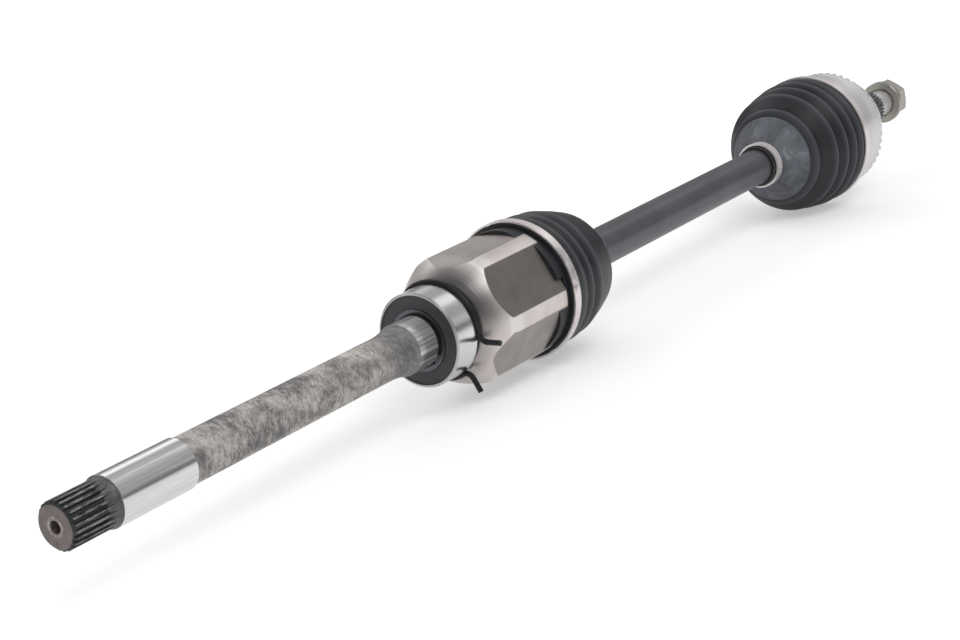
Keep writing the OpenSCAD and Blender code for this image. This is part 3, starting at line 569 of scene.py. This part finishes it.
def bell_finish():
    """Satin turned bell with the dark spline of the wheel hub behind it."""
    s = Shade("bell_and_stub", metallic=0.6)
    stain = s.noise(45, 5, 0.6)
    satin = s.tones(stain, rgb(218, 215, 217), rgb(238, 235, 237))
    dark = s.tones(s.noise(300, 4, 0.7), rgb(88, 88, 92), rgb(150, 150, 152), start=0.4)
    spline = s.between(s.x, *HUB_SPLINE_X, 0.0004)
    s.set("Base Color", s.mix(spline, satin, dark))
    s.set("Roughness", s.lerp(spline, 0.36, 0.42))
    lathe_marks(s, stain)
    return s.mat


def shaft_finish():
    """Charcoal paint on the bar, bare steel on both hidden ends."""
    s = Shade("painted_bar")
    cloud = s.noise(30, 5, 0.6)
    charcoal = s.tones(cloud, rgb(90, 90, 95), rgb(106, 106, 111))
    painted = s.between(s.x, *PAINTED_X, 0.0005)
    s.set("Base Color", s.mix(painted, rgb(150, 150, 152), charcoal))
    s.set("Metallic", s.lerp(painted, 1.0, 0.45))
    s.set("Roughness", s.lerp(painted, 0.3, s.lerp(cloud, 0.34, 0.44)))
    s.bump(s.noise(900, 3, 0.6), 0.00003, 0.6)
    return s.mat


def paint(mat, *nodes):
    """Gives CAD nodes their finished material."""
    for node in nodes:
        slots = NODE[node].data.materials
        slots.clear()
        slots.append(mat)


paint(housing_finish(), "tripod_housing")
paint(inner_ring_finish(), "bearing_inner_ring")
paint(outer_ring_finish(), "bearing_outer_ring")
paint(bearing_finish(), "bearing_balls", "cv_balls", "tripod_roller_1", "tripod_roller_2",
      "tripod_roller_3", "roller_needles")
paint(steel("hardened", rgb(138, 138, 142), 0.3, turned=True),
      "tripod_spider", "cv_inner_race", "cv_cage")
paint(steel("spring_black", rgb(44, 45, 47), 0.42, spread=0.08, dark=0.7, scale=90, metallic=0.6),
      "bearing_snap_ring", "bearing_circlip", "roller_retainers", "spider_circlip",
      "cv_race_circlip")
paint(band_finish(), "inner_large_clamp", "inner_small_clamp", "outer_small_clamp",
      "outer_large_clamp")
paint(steel("cage_sheet", rgb(196, 188, 164), 0.32), "bearing_cage")
paint(steel("sensor_matt", rgb(238, 238, 240), 0.38, dark=0.94, scale=70, metallic=0.35),
      "speed_sensor_ring")
paint(steel("nut_zinc", rgb(178, 176, 167), 0.34, spread=0.07, dark=0.86, metallic=0.7), "hub_nut")
paint(rubber("seal_rubber", rgb(58, 58, 62), rgb(72, 72, 76), 0.42).mat,
      "bearing_seal_front", "bearing_seal_rear")
paint(rubber("adapter_rubber", rgb(30, 31, 34), rgb(48, 50, 55), 0.44).mat, "boot_adapter")
paint(bell_finish(), "cv_bell")
paint(shaft_finish(), "centre_shaft")


def linked(name, data):
    """A new object in the scene."""
    o = bpy.data.objects.new(name, data)
    bpy.context.scene.collection.objects.link(o)
    return o


def fillet(a, b, c, radius):
    """Points of an arc in the corner b between a and c."""
    a, b, c = (Vector(p) for p in (a, b, c))
    to_a, to_c = (a - b).normalized(), (c - b).normalized()
    half = math.acos(max(-1, min(1, to_a.dot(to_c)))) / 2
    inward = (to_a + to_c).normalized()
    centre = b + inward * (radius / math.sin(half))
    turn = math.pi / 2 - half
    side = -1 if to_a.x * to_c.y - to_a.y * to_c.x > 0 else 1
    middle = math.atan2(-inward.y, -inward.x)
    angles = (middle + side * turn * k / ARC_STEPS for k in range(-ARC_STEPS, ARC_STEPS + 1))
    return [centre + radius * Vector((math.cos(q), math.sin(q))) for q in angles]


def outline(corners):
    """Points of the line through [x, radius, fillet] corners, no two far apart, in mm."""
    pts = [Vector(corners[0][:2])]
    for a, b, c in zip(corners, corners[1:], corners[2:]):
        pts += fillet(a[:2], b[:2], c[:2], b[2])
    pts.append(Vector(corners[-1][:2]))
    out = [pts[0]]
    for p in pts[1:]:
        start = out[-1].copy()
        parts = max(1, math.ceil((p - start).length / LONGEST_STEP))
        out += [start.lerp(p, j / parts) for j in range(1, parts + 1)]
    return out


def split_at(pts, x):
    """The outline before and after station x, both with the point at x."""
    for i in range(1, len(pts)):
        a, b = pts[i - 1], pts[i]
        if a.x <= x < b.x:
            m = a.lerp(b, (x - a.x) / (b.x - a.x))
            return pts[:i] + [m], [m] + pts[i:]
    raise ValueError(x)


def wall(pts):
    """Closed loop of the boot's wall inside the outer points."""
    last = len(pts) - 1
    inner = []
    for i, p in enumerate(pts):
        d = (pts[min(i + 1, last)] - pts[max(i - 1, 0)]).normalized()
        inner.append(p + BOOT_WALL * Vector((d.y, -d.x)))
    return pts + inner[::-1]


def smooth_shading(mesh):
    """Makes the faces point outwards, and keeps only the sharp edges hard."""
    bm = bmesh.new()
    bm.from_mesh(mesh)
    bmesh.ops.recalc_face_normals(bm, faces=bm.faces)
    for e in bm.edges:
        e.smooth = e.calc_face_angle(0) < SHARP_ANGLE
    for f in bm.faces:
        f.smooth = True
    bm.to_mesh(mesh)
    bm.free()


def spin(name, loop, mat):
    """Solid of revolution about X from a closed loop of [x, radius] in mm. Its rest shape
    is kept as an attribute, so that the looks bend with it."""
    verts, faces = [], []
    n = len(loop)
    for i in range(SEGMENTS):
        a = 2 * math.pi * i / SEGMENTS
        for p in loop:
            verts.append((p.x / 1000, p.y * math.cos(a) / 1000, p.y * math.sin(a) / 1000))
    for i in range(SEGMENTS):
        k = (i + 1) % SEGMENTS
        for j in range(n):
            m = (j + 1) % n
            faces.append((i * n + j, i * n + m, k * n + m, k * n + j))
    mesh = bpy.data.meshes.new(name)
    mesh.from_pydata(verts, [], faces)
    mesh.update()
    smooth_shading(mesh)
    rest = mesh.attributes.new(REST, "FLOAT_VECTOR", "POINT")
    rest.data.foreach_set("vector", [c for v in mesh.vertices for c in v.co])
    mesh.materials.append(mat)
    return linked(name, mesh)


def folds(corners):
    """Stations in metres of the folds' crests, and of the valleys between them."""
    tops, valleys = [], []
    for (_, before, _), (x, r, _), (_, after, _) in zip(corners, corners[1:], corners[2:]):
        if r > before and r > after:
            tops.append(x / 1000)
        elif r < before and r < after:
            valleys.append(x / 1000)
    return tops, valleys


def boot_finish(name, corners, half):
    """Dark rubber with a painted highlight on each fold's crest and painted shade in each valley.
    """
    s = rubber(name, rgb(31, 32, 36), rgb(44, 45, 50), 0.42, REST)
    tops, valleys = folds(corners)
    colour = s.fed_by("Base Color")
    # painted shade in the valleys, then painted highlights on the crests
    for stations, painted_light, share in ((valleys, rgb(16, 16, 19), 0.85), (tops, rgb(88, 91, 98), 0.58)):
        for x in stations:
            away = s.calc("ABSOLUTE", s.minus(s.x, x))
            colour = s.mix(s.times(s.step(away, half, half * 0.15), share), colour, painted_light)
    s.set("Base Color", colour)
    return s


def dust_cone(s):
    """Adds the dust with its smears on the first cone of the outer boot."""
    cone = s.between(s.x, *DUSTY_CONE_X, 0.0006)
    cloud = s.noise(60, 6, 0.68, distortion=0.8)
    dust = s.ramp(cloud, (0.32, rgb(72, 75, 82)), (0.46, rgb(98, 101, 109)),
                  (0.6, rgb(114, 117, 125)), (0.74, rgb(150, 153, 160)))
    s.set("Base Color", s.mix(cone, s.fed_by("Base Color"), dust))
    s.set("Roughness", s.lerp(cone, s.fed_by("Roughness"), 0.62))


inner = boot_finish("boot_rubber", INNER, INNER_FOLD_LIGHT_HALF)
outer = boot_finish("outer_boot_rubber", OUTER, OUTER_FOLD_LIGHT_HALF)
dust_cone(outer)

# each CAD boot is hidden and replaced by two halves that meet at its middle station
front, rear = split_at(outline(INNER), INNER_MIDDLE)
boot_a = spin("inner_boot_front", wall(front), inner.mat)
boot_b = spin("inner_boot_rear", wall(rear), inner.mat)
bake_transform(boot_a)
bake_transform(boot_b)
front, rear = split_at(outline(OUTER), OUTER_MIDDLE)
boot_c = spin("outer_boot_small_end", wall(front), outer.mat)
boot_d = spin("outer_boot_large_end", wall(rear), outer.mat)
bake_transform(boot_c)
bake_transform(boot_d)
for o in (boot_a, boot_b):
    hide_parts("inner_boot")
for o in (boot_c, boot_d):
    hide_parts("outer_boot")


def floor_finish():
    """Pale floor. It keeps the object's shadow and goes white away from it."""
    mat = bpy.data.materials.new("floor")
    mat.use_nodes = True
    tree = mat.node_tree
    tree.nodes.clear()
    g = Graph(tree, "Object")
    away = g.length(g.times(g.minus(g.x, SHADOW_X), 0.8), g.times(g.y, 1.5))
    white = g.lerp(g.step(away, 0.25, 0.9), 0.4, 1.0)
    path = tree.nodes.new("ShaderNodeLightPath")
    direct = g.times(path.outputs["Is Camera Ray"], white)
    bounced = g.larger(path.outputs["Is Glossy Ray"], path.outputs["Is Transmission Ray"])
    diffuse = tree.nodes.new("ShaderNodeBsdfDiffuse")
    diffuse.inputs[0].default_value = (0.86, 0.86, 0.86, 1)
    glow = tree.nodes.new("ShaderNodeEmission")
    g.put(glow.inputs[1], g.plus(direct, g.times(bounced, 0.33)))
    both = tree.nodes.new("ShaderNodeAddShader")
    g.link(diffuse.outputs[0], both.inputs[0])
    g.link(glow.outputs[0], both.inputs[1])
    out = tree.nodes.new("ShaderNodeOutputMaterial")
    g.link(both.outputs[0], out.inputs[0])
    return mat


def studio(world):
    """Soft sky: dark rim above the table, grey walls, a bright ceiling, and the dark
    place behind the camera. The camera itself sees white."""
    world.use_nodes = True
    tree = world.node_tree
    tree.nodes.clear()
    g = Graph(tree, "Generated")
    sky = g.ramp(g.calc("MULTIPLY_ADD", g.z, 0.5, 0.5),
                 (0.0, 0.8), (0.5, 0.5), (0.51, 0.12), (0.57, 0.13), (0.61, 0.36),
                 (0.75, 0.44), (0.84, 0.5), (0.92, 0.66), (1.0, 0.85))
    behind = g.step(g.along(*BEHIND_CAMERA), 0.72, 0.96)
    sky = g.times(sky, g.lerp(behind, 1.0, 0.18))
    # the soft boxes leave streaks along the ground faces
    upper = g.step(g.along(*UPPER_BOX), 0.978, 0.994)
    lower = g.step(g.along(*LOWER_BOX), 0.988, 0.996)
    sky = g.plus(g.plus(sky, g.times(upper, 0.8)), g.times(lower, 0.35))
    grey = tree.nodes.new("ShaderNodeBackground")
    g.put(grey.inputs[0], sky)
    white = tree.nodes.new("ShaderNodeBackground")
    white.inputs[0].default_value = (1, 1, 1, 1)
    path = tree.nodes.new("ShaderNodeLightPath")
    seen = tree.nodes.new("ShaderNodeMixShader")
    g.link(path.outputs["Is Camera Ray"], seen.inputs[0])
    g.link(grey.outputs[0], seen.inputs[1])
    g.link(white.outputs[0], seen.inputs[2])
    out = tree.nodes.new("ShaderNodeOutputWorld")
    g.link(seen.outputs[0], out.inputs[0])


def lamp(name, place, target, size, power):
    """Soft rectangular lamp that points at its target."""
    data = bpy.data.lights.new(name, "AREA")
    data.shape = "RECTANGLE"
    data.size, data.size_y = size
    data.energy = power
    turn = (Vector(target) - Vector(place)).to_track_quat("-Z", "Y").to_matrix().to_4x4()
    linked(name, data).matrix_world = Matrix.Translation(place) @ turn


ground_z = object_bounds()[0][2] - FLOOR_GAP
floor_mesh = bpy.data.meshes.new("floor")
floor_mesh.from_pydata([(FLOOR_HALF * u, FLOOR_HALF * v, ground_z)
                        for u, v in ((-1, -1), (1, -1), (1, 1), (-1, 1))], [], [(0, 1, 2, 3)])
floor_mesh.materials.append(floor_finish())
floor = linked("floor", floor_mesh)

bpy.context.scene.world = bpy.data.worlds.new("studio")
studio(bpy.context.scene.world)

lamp("key", (-0.3, -1.1, 1.7), (0.1, 0, 0), (2.2, 0.8), 13)
lamp("back", (0.5, 1.4, 1.2), (0.1, 0, 0), (2.4, 0.7), 5.5)
lamp("end", (-1.9, 0.1, 0.7), (0, 0, 0), (0.9, 0.9), 4)

cam_data = bpy.data.cameras.new("camera")
cam_data.sensor_width = SENSOR_MM
cam_data.lens = LENS_MM
cam_data.clip_start = 0.02
cam = linked("camera", cam_data)
axes = Matrix((CAMERA_RIGHT, CAMERA_RIGHT.cross(CAMERA_LOOK), -CAMERA_LOOK)).transposed()
cam.matrix_world = Matrix.Translation(CAMERA_PLACE) @ axes.to_4x4()
bpy.context.scene.camera = cam
bpy.context.scene.view_settings.view_transform = "Standard"
